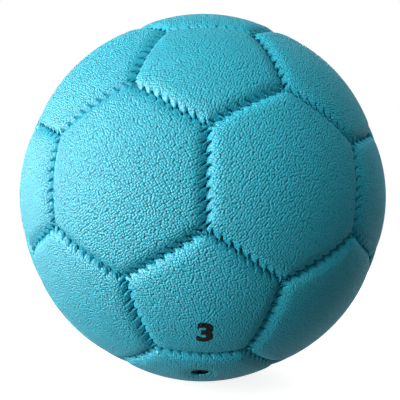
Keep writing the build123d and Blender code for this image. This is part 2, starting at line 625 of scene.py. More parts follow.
@dataclass
class PanelNet:
    """A flat closed net of a panel, with what each of its vertices is.

    Attributes:
        kind: The panel's outline.
        mesh: The net as a mesh.
        side: Number of the side that a vertex belongs to.
        ring: 0 at the panel's middle and 1 at its outline.
        place: -1 to 1 along the side.
        inner: Whether the vertex is on the inner sheet.
    """

    kind: PanelKind
    mesh: bpy.types.Mesh
    side: np.ndarray
    ring: np.ndarray
    place: np.ndarray
    inner: np.ndarray

    @property
    def lines(self) -> np.ndarray:
        """Directions of the sides that the vertices belong to, one in each row."""
        turns = self.kind.side_turns()[self.side]
        return np.column_stack([-np.sin(turns), np.cos(turns)])

    @property
    def outline(self) -> np.ndarray:
        """Where the rays from the middle through the vertices meet the outline.

        Returns:
            The places in the flat net, one in each row.
        """
        turns = self.kind.side_turns()[self.side]
        normals = np.column_stack([np.cos(turns), np.sin(turns)])
        return normals + (self.place * self.kind.half_side)[:, None] * self.lines


def ring_of(point: Vector, sides: int) -> float:
    """How far out a point of a flat net lies.

    Args:
        point: The point.
        sides: Number of the net's sides.

    Returns:
        0 at the net's middle to 1 at its sides.
    """
    step = FULL_TURN / sides
    turn = round(math.atan2(point.y, point.x) / step) * step
    return point.x * math.cos(turn) + point.y * math.sin(turn)


def add_sheet(net: bmesh.types.BMesh, sides: int, divisions: int, sheet: Sheet) -> None:
    """Adds one flat sheet of a panel's net, a polygon cut into a grid of triangles.

    Args:
        net: The net that gets the sheet.
        sides: Number of the polygon's sides.
        divisions: Number of grid lengths along a side.
        sheet: Which face of the panel the sheet is.
    """
    turn = math.pi / sides - (math.pi / 2) % (FULL_TURN / sides)
    known = set(net.verts)
    bmesh.ops.create_circle(
        net,
        cap_ends=True,
        cap_tris=True,
        segments=sides,
        radius=1 / math.cos(math.pi / sides),
        matrix=Matrix.Translation((0, 0, sheet.value)) @ Matrix.Rotation(turn, 4, "Z"),
    )
    edges = {edge for vertex in net.verts if vertex not in known for edge in vertex.link_edges}
    bmesh.ops.subdivide_edges(net, edges=list(edges), cuts=divisions - 1, use_grid_fill=True)


def cut_to_triangles(shape: bmesh.types.BMesh) -> None:
    """Cuts the larger faces of a shape into triangles."""
    bmesh.ops.triangulate(shape, faces=[face for face in shape.faces if len(face.verts) > 3])


def place_vertices(mesh: bpy.types.Mesh, points: np.ndarray) -> None:
    """Moves the vertices of a mesh.

    Args:
        mesh: The mesh.
        points: The new places, one in each row.
    """
    mesh.vertices.foreach_set("co", points.astype(np.float32).ravel())
    mesh.update()


def mark_hide(mesh: bpy.types.Mesh, places: np.ndarray) -> None:
    """Stores where each vertex of a mesh lay on the flat leather.

    Args:
        mesh: The mesh.
        places: The places, one in each row.
    """
    layer = mesh.attributes.new(HIDE, "FLOAT_VECTOR", "POINT")
    layer.data.foreach_set("vector", places.astype(np.float32).ravel())


def new_mesh(name: str, shape: bmesh.types.BMesh) -> bpy.types.Mesh:
    """Turns a finished bmesh into a mesh and frees it.

    Args:
        name: Name of the mesh.
        shape: The bmesh.

    Returns:
        The mesh.
    """
    mesh = bpy.data.meshes.new(name)
    shape.to_mesh(mesh)
    shape.free()
    return mesh


def new_piece(name: str, mesh: bpy.types.Mesh, finish: bpy.types.Material) -> bpy.types.Object:
    """Makes a mesh a piece of the ball.

    Args:
        name: Name of the piece.
        mesh: Its mesh, in the ball's frame.
        finish: Its material.

    Returns:
        The piece.
    """
    mesh.name = name
    mesh.materials.clear()
    mesh.materials.append(finish)
    mesh.shade_smooth()
    piece = bpy.data.objects.new(name, mesh)
    bpy.context.scene.collection.objects.link(piece)
    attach(piece, ROOT)
    log.info("%s: %d faces", name, len(mesh.polygons))
    return piece


def dress_node(node: str, finish: bpy.types.Material) -> None:
    """Gives a node that stays as it is its finish.

    Args:
        node: Name of the node.
        finish: The material.
    """
    frame["nodes"][node].data.materials.clear()
    frame["nodes"][node].data.materials.append(finish)
    log.info("%s: dressed", node)


@dataclass
class Valve:
    """The needle valve: where it stands, and the hole that the cover has for it.

    Attributes:
        hole_radius: Radius of the hole in the cover.
        dimple_reach: How far from the valve's axis the cover dips towards it.
        dimple_depth: How far it dips.
        lip: Width of the lip that the skin has round the hole.
        lip_rise: How far the lip stands over the skin.
        lip_roll: How far the lip's edge rolls into the hole.
        refine_reach: How far round the hole the cover's mesh is refined.
        skin_cuts: How many times the skin's edges are cut there.
        pad_cuts: How many times the padding's edges are cut there.
        axis: Direction of the valve, out of the ball.
    """

    hole_radius: float = 0.0038
    dimple_reach: float = 0.009
    dimple_depth: float = 0.0007
    lip: float = 0.0012
    lip_rise: float = 0.0003
    lip_roll: float = 0.0004
    refine_reach: float = 0.009
    skin_cuts: int = 5
    pad_cuts: int = 3
    axis: Vector = field(default_factory=Vector)

    def find(self) -> None:
        """Reads the valve's direction from the record's needle bore."""
        bore = next(mount for mount in frame["record"]["mounts"] if mount["kind"] == "bore")
        self.axis = Vector(bore["axis"]).normalized()

    def distance(self, vertex: bmesh.types.BMVert) -> float:
        """How far a vertex lies from the valve's axis, or infinity on the ball's other half."""
        along = vertex.co.dot(self.axis)
        return (vertex.co - along * self.axis).length if along > 0 else math.inf

    def has_near(self, vertices: bmesh.types.BMElemSeq, out: float) -> bool:
        """Whether some vertices all lie nearer to the valve's axis than a distance."""
        return all(self.distance(vertex) < out for vertex in vertices)

    def rise(self, out: float) -> float:
        """How far the skin is raised round the hole.

        Args:
            out: Distance from the hole's edge.

        Returns:
            The rise, less than 0 where the skin dips.
        """
        share = min(out / self.lip, 1.0)
        bead = self.lip_rise * (1 - math.cos(FULL_TURN * share)) / 2
        rolled = self.lip_roll * max(0.0, 1 - 2 * share) ** 2
        dip = min(out / (self.dimple_reach - self.hole_radius), 1.0)
        return bead - rolled - self.dimple_depth * (1 + math.cos(math.pi * dip)) / 2

    def punch(self, mesh: bpy.types.Mesh, cuts: int, has_lip: bool) -> None:
        """Cuts the valve's hole through a closed layer of the cover and joins its two faces there.

        Args:
            mesh: The layer, changed in place.
            cuts: How many times the edges round the hole are cut first.
            has_lip: Whether the layer is the skin, which has a lip round the hole.
        """
        layer = bmesh.new()
        layer.from_mesh(mesh)
        near = [edge for edge in layer.edges if self.has_near(edge.verts, self.refine_reach)]
        bmesh.ops.subdivide_edges(layer, edges=near, cuts=cuts, use_grid_fill=True)
        cut_to_triangles(layer)
        inside = [face for face in layer.faces if self.has_near(face.verts, self.hole_radius)]
        bmesh.ops.delete(layer, geom=inside, context="FACES")
        rim = [edge for edge in layer.edges if edge.is_boundary]
        for vertex in {vertex for edge in rim for vertex in edge.verts}:
            foot = vertex.co.dot(self.axis) * self.axis
            vertex.co = foot + (vertex.co - foot).normalized() * self.hole_radius
        for vertex in layer.verts if has_lip else ():
            vertex.co += self.rise(max(self.distance(vertex) - self.hole_radius, 0.0)) * self.axis
        bmesh.ops.bridge_loops(layer, edges=rim)
        bmesh.ops.recalc_face_normals(layer, faces=layer.faces)
        layer.to_mesh(mesh)
        layer.free()

    def dress(self, rubber: Rubber) -> None:
        """Gives the valve's own nodes their finish.

        Args:
            rubber: Finish of the valve.
        """
        finish = rubber.material()
        for node in ("valve_insert", "valve_housing"):
            dress_node(node, finish)


@dataclass
class Cover:
    """The sewn cover: 32 leather panels with their edges turned in.

    Attributes:
        radius: Radius of the ball over the panels' crowns.
        edge_drop: How far the panels' sides lie below their crowns.
        skin: Thickness of the leather.
        fill: How firmly the panels are filled; not used.
        seam_gap: Width of the gap that is left between two panels where they meet.
        shoulder_run: How far from the seam the leather starts to roll into it.
        seam_lean: How far the leather has turned down where the two panels meet.
        floor_radius: Radius at which the turned-in edges end.
        strip_share: Share of the fine band's rings that lie beside the shoulder.
        flange_share: Share of its rings that lie on the turned-in edge.
        flange_bend: Share of the turned-in edge over which it turns to point at the ball's centre.
        corner_ease: How softly two sides run into each other at a corner.
        least_ease: Share of that softness which is left at the seam.
        band_run: Width of the finely divided strip beside the shoulder.
        drawn_run: How far from the seam the pull of the fold smooths the grain.
        crown_stray: How far a panel may stand proud of the others or below them.
        stitch_pitch: Distance from one stitch to the next.
        stitches: Number of stitches in a seam.
        stitch_stray: How far a stitch may be off its place.
        slant: Slope of the strands: how far they run along the seam for each length across it.
        slant_stray: Usual stray of a strand's turn, in radians.
        dent_depth: Depth of the dent beside a strand.
        dent_width: Width of the dent at the seam.
        dent_fade_share: Share of that width below which the dent fades out.
        dent_rise: How far up the shoulder the dent reaches.
        dent_edge: Width over which the dent starts and ends.
        tooth: How far a panel's edge bulges over the seam beside a strand, and draws back past it.
        tooth_rise: How far up the shoulder that reaches.
        sway: How far a seam may stray from its straight line.
        divisions: Number of grid lengths along a side of a panel's net.
        band_rings: Number of those lengths, from the side in, that are divided finely.
        band_cuts: Number of cuts in each of them.
        inner_divisions: Number of grid lengths along a side of the inner sheet.
        inner_band_rings: Number of those lengths, from the side in, that follow the shoulder.
        panels: The panels, once found.
        seams: The seams, once found.
    """

    radius: float = 0.094
    edge_drop: float = 0.001
    skin: float = 0.0012
    fill: float = 0.9
    seam_gap: float = 0.0001
    shoulder_run: float = 0.006
    seam_lean: float = math.radians(40)
    floor_radius: float = 0.0878
    strip_share: float = 1 / 6
    flange_share: float = 1 / 6
    flange_bend: float = 0.25
    corner_ease: float = 0.0009
    least_ease: float = 0.04
    band_run: float = 0.002
    drawn_run: float = 0.004
    crown_stray: float = 0.0002
    stitch_pitch: float = 0.0042
    stitches: int = 9
    stitch_stray: float = 0.00025
    slant: float = 0.5
    slant_stray: float = 0.07
    dent_depth: float = 0.0008
    dent_width: float = 0.0013
    dent_fade_share: float = 1 / 3
    dent_rise: float = 0.0026
    dent_edge: float = 0.0003
    tooth: float = 0.0005
    tooth_rise: float = 0.0035
    sway: float = 0.0002
    divisions: int = 20
    band_rings: int = 4
    band_cuts: int = 5
    inner_divisions: int = 10
    inner_band_rings: int = 4
    panels: list[Panel] = field(default_factory=list)
    seams: list[Seam] = field(default_factory=list)

    @property
    def edge_radius(self) -> float:
        """Radius of the cover along its seams, before the edges roll in."""
        return self.radius - self.edge_drop

    def find_panels(self) -> None:
        """Finds each panel's direction from the place of its node."""
        hexagons = [Vector(corner).normalized() for corner in product((-1, 1), repeat=3)]
        pentagons = []
        for first, second in product((-1, 1), repeat=2):
            for turn in range(3):
                pentagons.append(Vector(np.roll((0, first * GOLDEN, second), turn)).normalized())
                hexagons.append(Vector(np.roll((0, first / GOLDEN, second * GOLDEN), turn)).normalized())
        for node in sorted(name for name in frame["nodes"] if "_panel" in name):
            low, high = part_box(node)
            is_pentagon = node.startswith(PanelKind.PENTAGON.prefix)
            kind = PanelKind.PENTAGON if is_pentagon else PanelKind.HEXAGON
            axis = max(pentagons if is_pentagon else hexagons, key=(low + high).normalized().dot)
            across = max(hexagons if is_pentagon else pentagons, key=axis.dot)
            self.panels.append(Panel(node, kind, axis, axis.cross(across).cross(axis).normalized()))

    def find_seams(self) -> None:
        """Lays the seams between the panels, each with its own small irregularities."""
        stray_share = 0.1
        same = math.cos(stray_share * PanelKind.PENTAGON.side_angle)
        for panel in self.panels:
            for middle, line in zip(panel.side_middles(), panel.side_lines()):
                shared = [seam for seam in self.seams if seam.middle @ middle > same]
                if shared:
                    shared[0].kinds.add(panel.kind)
                    continue
                chance = np.random.default_rng(len(self.seams))
                even = (np.arange(self.stitches) - (self.stitches - 1) / 2) * self.stitch_pitch
                self.seams.append(
                    Seam(
                        middle,
                        line,
                        {panel.kind},
                        even + chance.uniform(-self.stitch_stray, self.stitch_stray, self.stitches),
                        math.atan(self.slant) + chance.normal(0.0, self.slant_stray, self.stitches),
                        chance.uniform(-self.stitch_stray, self.stitch_stray, self.stitches),
                        chance.uniform(-self.sway, self.sway, 3),
                    )
                )

    def net(self, kind: PanelKind, is_fine: bool) -> PanelNet:
        """Makes the flat net of a panel: an outer sheet and a coarse inner one, joined at the outline.

        Args:
            kind: The panel's outline.
            is_fine: Whether the outer sheet is fine, most of all along the sides.

        Returns:
            The net.
        """
        net = bmesh.new()
        sides = kind.value
        add_sheet(net, sides, self.divisions if is_fine else self.inner_divisions, Sheet.OUTER)
        if is_fine:
            half_ring = 0.5 / self.divisions
            band_start = 1 - self.band_rings / self.divisions - half_ring
            band = [edge for edge in net.edges if all(ring_of(v.co, sides) > band_start for v in edge.verts)]
            bmesh.ops.subdivide_edges(net, edges=band, cuts=self.band_cuts, use_grid_fill=True)
        add_sheet(net, sides, self.inner_divisions, Sheet.INNER)
        bmesh.ops.bridge_loops(net, edges=[edge for edge in net.edges if edge.is_boundary])
        cut_to_triangles(net)
        bmesh.ops.recalc_face_normals(net, faces=net.faces)
        mesh = new_mesh(f"{kind.prefix}_net", net)
        points = np.empty(3 * len(mesh.vertices))
        mesh.vertices.foreach_get("co", points)
        x, y, z = points.reshape(-1, 3).T
        step = FULL_TURN / sides
        side = np.round(np.arctan2(y, x) / step).astype(int)
        ring = x * np.cos(side * step) + y * np.sin(side * step)
        across = y * np.cos(side * step) - x * np.sin(side * step)
        place = across / np.maximum(ring, NEARLY_ZERO) / kind.half_side
        inner = z < (Sheet.OUTER.value + Sheet.INNER.value) / 2
        return PanelNet(kind, mesh, side % sides, ring, np.clip(place, -1.0, 1.0), inner)

    def dome(self, kind: PanelKind, towards: np.ndarray) -> np.ndarray:
        """Distance of a panel's dome from the ball's centre.

        Args:
            kind: The panel's outline.
            towards: Directions in the panel's own frame, one in each row.

        Returns:
            The distances.
        """
        out = self.edge_radius * math.sin(kind.side_angle)
        fall = self.radius - self.edge_radius * math.cos(kind.side_angle)
        dome_radius = (out**2 + fall**2) / (2 * fall)
        height = self.radius - dome_radius
        cosine = towards[:, 2]
        return height * cosine + np.sqrt(dome_radius**2 - height**2 * (1 - cosine**2))

    def profile(self, share: np.ndarray) -> tuple[np.ndarray, np.ndarray, np.ndarray]:
        """Section of the leather across a seam.

        Args:
            share: 0 where the fine band starts, 1 at the end of the turned-in edge.

        Returns:
            Distance from the seam, depth below the dome, and how far the leather has turned down.
        """
        roll_share = 1 - self.strip_share - self.flange_share
        strip = np.clip(1 - share / self.strip_share, 0, 1)
        turn = np.clip((share - self.strip_share) / roll_share, 0, 1) * self.seam_lean
        flange = np.clip((share - 1) / self.flange_share + 1, 0, 1)
        arc = self.shoulder_run / math.sin(self.seam_lean)
        distance = self.seam_gap / 2 + self.shoulder_run - arc * np.sin(turn) + self.band_run * strip
        flange_length = self.edge_radius - arc * (1 - math.cos(self.seam_lean)) - self.floor_radius
        drop = arc * (1 - np.cos(turn)) + flange_length * flange
        bend = (math.pi / 2 - self.seam_lean) * np.clip(flange / self.flange_bend, 0, 1)
        return distance, drop, turn + bend

    def reach(self, kind: PanelKind, outline: np.ndarray, distance: np.ndarray) -> np.ndarray:
        """How far out along its ray a point lies that keeps a distance from the panel's sides.

        Args:
            kind: The panel's outline.
            outline: Where the rays meet the outline, in the flat net.
            distance: Distances from the sides, rounded at the corners.

        Returns:
            Shares of the way from the panel's middle to its outline.
        """
        furthest, halvings = 1.05, 36
        turns = kind.side_turns()
        nearness = outline @ np.array([np.cos(turns), np.sin(turns)])
        span = math.tan(kind.side_angle) ** 2 * (outline**2).sum(1)
        depth = self.edge_radius * math.sin(kind.side_angle)
        low, high = np.zeros(len(outline)), np.full(len(outline), furthest)
        ease = (self.corner_ease * np.clip(distance / self.shoulder_run, self.least_ease, 1))[:, None]
        for _ in range(halvings):
            middle = (low + high) / 2
            to_sides = depth * (1 - middle[:, None] * nearness) / np.sqrt(1 + middle**2 * span)[:, None]
            nearest = to_sides.min(1)
            rounded = nearest - ease[:, 0] * np.log(np.exp((nearest[:, None] - to_sides) / ease).sum(1))
            low = np.where(rounded > distance, middle, low)
            high = np.where(rounded > distance, high, middle)
        return (low + high) / 2

    def pucker(
        self, along: np.ndarray, distance: np.ndarray, stitches: np.ndarray
    ) -> tuple[np.ndarray, np.ndarray]:
        """How the pull of the stitches puckers a panel's shoulder.

        Args:
            along: Places along the seam, from its middle.
            distance: Distances from the seam.
            stitches: Places of the seam's stitches, one row for each point.

        Returns:
            Depths of the dents, and how far the edge draws back, less than 0 where it bulges out.
        """
        beside = along[:, None] - stitches + self.slant * distance[:, None]
        width = self.dent_width * np.clip(1 - distance / self.dent_rise, 0, 1)[:, None]
        rise = smooth_step(beside, 0.0, self.dent_edge)
        fall = 1 - smooth_step(beside, np.maximum(width - self.dent_edge, 0.0), width + self.dent_edge)
        dent = (rise * fall * smooth_step(width, 0.0, self.dent_fade_share * self.dent_width)).max(1)
        slope = np.clip(1 - 2 * np.abs(beside) / self.stitch_pitch, 0, 1)
        draw = (slope * np.clip(beside / self.dent_edge, -1, 1)).sum(1)
        return dent * self.dent_depth, draw * self.tooth * (1 - smooth_step(distance, 0.0, self.tooth_rise))

    def shape(self, panel: Panel, net: PanelNet) -> np.ndarray:
        """Bends a flat net into a panel.

        Args:
            panel: The panel.
            net: Its flat net.

        Returns:
            The net's vertices in the ball's frame.
        """
        kind, outline = panel.kind, net.outline
        outer_start = 1 - self.band_rings / self.divisions
        inner_start = 1 - self.inner_band_rings / self.inner_divisions
        band_start = np.where(net.inner, inner_start, outer_start)
        distance, drop, turn = self.profile(np.clip((net.ring - band_start) / (1 - band_start), 0, 1))
        thickness = np.where(net.inner, self.skin, 0.0)
        distance = distance + thickness * np.sin(turn)
        drop = drop + thickness * np.cos(turn)
        unsewn = kind.directions(outline * self.reach(kind, outline, distance)[:, None])
        along = self.edge_radius * np.arcsin((unsewn[:, :2] * net.lines).sum(1))
        stitches, sway = self.stitching(panel)
        dent, draw = self.pucker(along, distance, stitches[net.side])
        dent = np.where(net.inner, 0.0, dent)
        half_length = self.edge_radius * math.asin(math.sin(kind.side_angle) * kind.half_side)
        share = math.pi * np.clip(along / half_length, -1, 1)
        waves = np.column_stack([np.cos(share / 2), np.sin(share), np.sin(2 * share)])
        distance = distance + dent * np.sin(turn) + draw + (waves * sway[net.side]).sum(1)
        drop = drop + dent * np.cos(turn)
        reach = self.reach(kind, outline, distance) * np.minimum(net.ring / band_start, 1.0)
        points = kind.directions(outline * reach[:, None])
        points = points * (self.dome(kind, points) + self.lift(panel) - drop)[:, None]
        return points @ panel.basis.T

    def hide_places(self, panel: Panel, points: np.ndarray) -> np.ndarray:
        """Where points of a panel lay on the flat leather, each panel in a part of its own.

        Args:
            panel: The panel.
            points: The points, one in each row.

        Returns:
            The places, one in each row, with 0 to 1 in the third column for how far the leather is
            drawn over the fold there.
        """
        local = unit_rows(points) @ panel.basis
        turns, angle = panel.kind.side_turns(), panel.kind.side_angle
        outward = np.array([np.cos(turns), np.sin(turns), np.full(len(turns), -math.tan(angle))])
        inside = self.edge_radius * np.arcsin(-(local @ outward).max(1) * math.cos(angle))
        drawn = 1 - smooth_step(inside, 0.0, self.drawn_run)
        across = np.hypot(local[:, 0], local[:, 1])
        stretch = self.radius * np.arctan2(across, local[:, 2]) / np.maximum(across, NEARLY_ZERO)
        part = self.panels.index(panel) * 2 * self.radius
        return np.column_stack([local[:, 0] * stretch + part, local[:, 1] * stretch, drawn])

    def lift(self, panel: Panel) -> float:
        """How far a panel stands proud of the others."""
        return np.random.default_rng(self.panels.index(panel)).uniform(-self.crown_stray, self.crown_stray)

    def stitching(self, panel: Panel) -> tuple[np.ndarray, np.ndarray]:
        """Stitches and sway of a panel's seams, seen from that panel.

        Args:
            panel: The panel.

        Returns:
            Places of the stitches along each side, and how far each side strays towards the panel.
        """
        stitches, sway = [], []
        for middle, line in zip(panel.side_middles(), panel.side_lines()):
            seam = max(self.seams, key=lambda other: other.middle @ middle)
            way = math.copysign(1.0, seam.line @ line)
            stitches.append(way * seam.stitches)
            sway.append(seam.sway * (way, 1.0, 1.0))
        return np.array(stitches), np.array(sway)

    def build(self, leather: Leather, valve: Valve) -> None:
        """Builds and dresses all panels.

        Args:
            leather: Finish of the panels.
            valve: The valve, which one panel has a hole for.
        """
        self.find_panels()
        self.find_seams()
        nets = {kind: self.net(kind, is_fine=True) for kind in PanelKind}
        finish = leather.material()
        for panel in self.panels:
            net = nets[panel.kind]
            mesh = net.mesh.copy()
            points = self.shape(panel, net)
            place_vertices(mesh, points)
            mark_hide(mesh, self.hide_places(panel, points))
            if panel.node == VALVE_PANEL:
                valve.punch(mesh, valve.skin_cuts, has_lip=True)
            piece = new_piece(panel.node.replace("panel", "leather"), mesh, finish)
            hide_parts(panel.node)
        for net in nets.values():
            bpy.data.meshes.remove(net.mesh)


@dataclass
class SeamThread:
    """The thread that shows in the seams: slanted strands from one panel's shoulder to the other's.

    Attributes:
        thickness: Diameter of the thread.
        reach: How far a strand goes to either side of the seam.
        arch: How far a strand stands over its ends.
        taper: How much wider a strand is at one end, and narrower at the other, than halfway.
        height: Radius, from the ball's centre, of the strands' ends.
        sides: Number of sides of a strand's section.
        steps: Number of lengths that a strand is made of.
    """

    thickness: float = 0.0008
    reach: float = 0.0016
    arch: float = 0.0006
    taper: float = 0.15
    height: float = 0.0908
    sides: int = 6
    steps: int = 6

    def strand(self) -> bpy.types.Mesh:
        """Makes one strand across a seam that lies along X, with Z out of the ball.

        Returns:
            The strand's mesh.
        """
        strand = bmesh.new()
        bmesh.ops.create_circle(
            strand,
            segments=self.sides,
            radius=self.thickness / 2,
            matrix=Matrix.Translation((0, self.reach, 0)),
        )
        bmesh.ops.spin(
            strand,
            geom=strand.verts[:] + strand.edges[:],
            cent=(0, 0, 0),
            axis=(1, 0, 0),
            angle=math.pi,
            steps=self.steps,
        )
        ends = [edge for edge in strand.edges if edge.is_boundary]
        bmesh.ops.holes_fill(strand, edges=ends, sides=self.sides)
        bmesh.ops.recalc_face_normals(strand, faces=strand.faces)
        for vertex in strand.verts:
            out = math.hypot(vertex.co.y, vertex.co.z)
            vertex.co.z *= (self.arch + out - self.reach) / out
            vertex.co.x *= 1 + self.taper * vertex.co.y / self.reach
        return new_mesh("strand", strand)

    def build(self, yarn: Yarn, cover: Cover) -> None:
        """Lays the strands of all seams, in one piece for each kind of seam.

        Args:
            yarn: Finish of the thread.
            cover: The cover whose seams are sewn.
        """
        strand = self.strand()
        finish = yarn.material()
        for kind, kinds in ((PanelKind.HEXAGON, {PanelKind.HEXAGON}), (PanelKind.PENTAGON, set(PanelKind))):
            sewn = bmesh.new()
            for seam in (seam for seam in cover.seams if seam.kinds == kinds):
                line, middle = Vector(seam.line), Vector(seam.middle)
                frame_of_seam = Matrix((line, middle.cross(line), middle)).transposed().to_4x4()
                for place, slant, lift in zip(seam.stitches, seam.slants, seam.lifts):
                    laid = strand.copy()
                    laid.transform(
                        frame_of_seam
                        @ Matrix.Rotation(place / cover.edge_radius, 4, "Y")
                        @ Matrix.Translation((0, 0, self.height + lift))
                        @ Matrix.Rotation(slant, 4, "Z")
                    )
                    sewn.from_mesh(laid)
                    bpy.data.meshes.remove(laid)
            name = f"{kind.prefix}_seam_strands"
            piece = new_piece(name, new_mesh(name, sewn), finish)
            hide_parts(f"{kind.prefix}_seam_threads")
        bpy.data.meshes.remove(strand)


@dataclass(frozen=True)
class Layer:
    """One kind of padding behind the panels.

    Attributes:
        name: Name of the layer, as its nodes have it.
        slot: The record's material slot.
        floor: Radius of the layer's inner face.
        ceiling: Largest radius of its outer face.
        depth: How far its outer face keeps below the leather's.
        inset: How far its sides keep from the seams.
        fill: How firmly it is filled; not used.
    """

    name: str
    slot: str
    floor: float
    ceiling: float
    depth: float = 0.0013
    inset: float = 0.002
    fill: float = 1.0


@dataclass
class Padding:
    """What lies behind the panels.

    Attributes:
        foam: The foam pads.
        lining: The cloth linings behind the pads.
    """

    foam: Layer = Layer("foam_pads", "foam", floor=0.0889, ceiling=0.094)
    lining: Layer = Layer("linings", "lining", floor=0.0878, ceiling=0.0888)

    def shape(self, layer: Layer, cover: Cover, panel: Panel, net: PanelNet) -> np.ndarray:
        """Bends a flat net into the padding of one panel.

        Args:
            layer: Which padding.
            cover: The cover that the padding is in.
            panel: The panel that the padding is behind.
            net: The panel's coarse flat net.

        Returns:
            The net's vertices in the ball's frame.
        """
        kind, outline = panel.kind, net.outline
        band_start = 1 - cover.inner_band_rings / cover.inner_divisions
        distance, drop, turn = cover.profile(np.clip((net.ring - band_start) / (1 - band_start), 0, 1))
        distance = np.maximum(distance + layer.depth * np.sin(turn), layer.inset)
        reach = cover.reach(kind, outline, distance) * np.minimum(net.ring / band_start, 1.0)
        points = kind.directions(outline * reach[:, None])
        top = cover.dome(kind, points) + cover.lift(panel) - drop - layer.depth * np.cos(turn)
        top = np.clip(top, layer.floor + cover.seam_gap, layer.ceiling)
        return points * np.where(net.inner, layer.floor, top)[:, None] @ panel.basis.T

    def build(self, finishes: dict[str, Rubber | Yarn], cover: Cover, valve: Valve) -> None:
        """Builds both layers, each in one piece for each kind of panel.

        Args:
            finishes: Finishes by material slot.
            cover: The cover that is padded.
            valve: The valve, which goes through one pad and one lining.
        """
        materials = {slot: finish.material() for slot, finish in finishes.items()}
        for kind, layer in product(PanelKind, (self.foam, self.lining)):
            net = cover.net(kind, is_fine=False)
            joined = bmesh.new()
            for panel in (panel for panel in cover.panels if panel.kind is kind):
                single = net.mesh.copy()
                place_vertices(single, self.shape(layer, cover, panel, net))
                if panel.node == VALVE_PANEL:
                    valve.punch(single, valve.pad_cuts, has_lip=False)
                joined.from_mesh(single)
                bpy.data.meshes.remove(single)
            bmesh.ops.remove_doubles(joined, verts=joined.verts[:], dist=SAME_PLACE)
            node = f"{kind.prefix}_{layer.name}"
            piece = new_piece(f"{node}_soft", new_mesh(node, joined), materials[layer.slot])
            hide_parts(node)
            bpy.data.meshes.remove(net.mesh)


@dataclass
class SizeMark:
    """The ball's size, printed on the lower front panel.

    Attributes:
        figure: What is printed.
        height: Height of the figure.
        width: Width of the figure.
        weight: How much the strokes are thickened, as a share of the letter size.
        curve_steps: Number of lengths in each curve of the figure.
        azimuth: Its turn about the ball from the front, in degrees.
        elevation: Its height over the ball's centre, in degrees.
        ink: Thickness of the print over the leather, and of its root in it.
        step: Width of the strips that the figure is cut into, so that it follows the ball.
    """

    figure: str = "3"
    height: float = 0.0109
    width: float = 0.0063
    weight: float = 0.05
    curve_steps: int = 8
    azimuth: float = 0.75
    elevation: float = -37.6
    ink: float = 0.00006
    step: float = 0.0008

    def outline(self) -> bpy.types.Mesh:
        """Makes the flat figure, with its middle at the origin and its size in metres.

        Returns:
            The figure's mesh.
        """
        curve = bpy.data.curves.new("size_figure", "FONT")
        curve.body = self.figure
        curve.offset = self.weight
        curve.resolution_u = self.curve_steps
        lettering = bpy.data.objects.new("size_figure", curve)
        bpy.context.scene.collection.objects.link(lettering)
        depsgraph = bpy.context.evaluated_depsgraph_get()
        mesh = bpy.data.meshes.new_from_object(lettering.evaluated_get(depsgraph))
        bpy.data.objects.remove(lettering)
        bpy.data.curves.remove(curve)
        xs = [vertex.co.x for vertex in mesh.vertices]
        ys = [vertex.co.y for vertex in mesh.vertices]
        middle = Vector(((min(xs) + max(xs)) / 2, (min(ys) + max(ys)) / 2, 0))
        size = (self.width / (max(xs) - min(xs)), self.height / (max(ys) - min(ys)), 1, 1)
        mesh.transform(Matrix.Diagonal(size) @ Matrix.Translation(-middle))
        return mesh

    def build(self, ink: Leather, cover: Cover) -> None:
        """Prints the figure on its panel.

        Args:
            ink: Finish of the print.
            cover: The cover that it is printed on.
        """
        spot = direction(self.azimuth, self.elevation)
        panel = max(cover.panels, key=lambda other: other.axis.dot(spot))
        right = Vector((0, 0, 1)).cross(spot).normalized()
        up = spot.cross(right)
        mesh = self.outline()
        figure = bmesh.new()
        figure.from_mesh(mesh)
        for axis, half in ((Vector((1, 0, 0)), self.width / 2), (Vector((0, 1, 0)), self.height / 2)):
            for place in np.arange(-half + self.step / 2, half, self.step):
                geometry = figure.verts[:] + figure.edges[:] + figure.faces[:]
                bmesh.ops.bisect_plane(
                    figure, geom=geometry, dist=SAME_PLACE, plane_co=axis * place, plane_no=axis
                )
        bmesh.ops.dissolve_degenerate(figure, dist=SAME_PLACE, edges=figure.edges[:])
        roots = figure.verts[:]
        raised = bmesh.ops.extrude_face_region(figure, geom=figure.faces[:])["geom"]
        tops = [item for item in raised if isinstance(item, bmesh.types.BMVert)]
        bmesh.ops.translate(figure, verts=roots, vec=(0, 0, -self.ink))
        bmesh.ops.translate(figure, verts=tops, vec=(0, 0, self.ink))
        bmesh.ops.recalc_face_normals(figure, faces=figure.faces)
        for vertex in figure.verts:
            towards = (cover.edge_radius * spot + vertex.co.x * right + vertex.co.y * up).normalized()
            in_panel = np.array(towards)[None, :] @ panel.basis
            surface = cover.dome(panel.kind, in_panel)[0] + cover.lift(panel)
            vertex.co = towards * (surface + vertex.co.z)
        points = np.array([vertex.co for vertex in figure.verts])
        figure.to_mesh(mesh)
        figure.free()
        mark_hide(mesh, cover.hide_places(panel, points))
        new_piece("size_mark", mesh, ink.material())


@dataclass(frozen=True)
class Softbox:
    """A square lamp that faces the ball.

    Attributes:
        name: Name of the lamp.
        azimuth: Its turn about the ball, from the front, in degrees.
        elevation: Its height over the ball's centre, in degrees.
        away: Its distance from the ball's centre.
        size: Its width.
        power: Its power, in watts.
        is_sheen: Whether it only makes a sheen and lights nothing.
    """

    name: str
    azimuth: float
    elevation: float
    away: float
    size: float
    power: float
    is_sheen: bool = False

    def hang(self) -> None:
        """Hangs the lamp in its place."""
        lamp = bpy.data.lights.new(self.name, "AREA")
        lamp.size = self.size
        lamp.energy = self.power
        holder = bpy.data.objects.new(self.name, lamp)
        holder.location = direction(self.azimuth, self.elevation) * self.away
        holder.rotation_euler = holder.location.to_track_quat("Z", "Y").to_euler()
        holder.visible_diffuse = not self.is_sheen
        bpy.context.scene.collection.objects.link(holder)


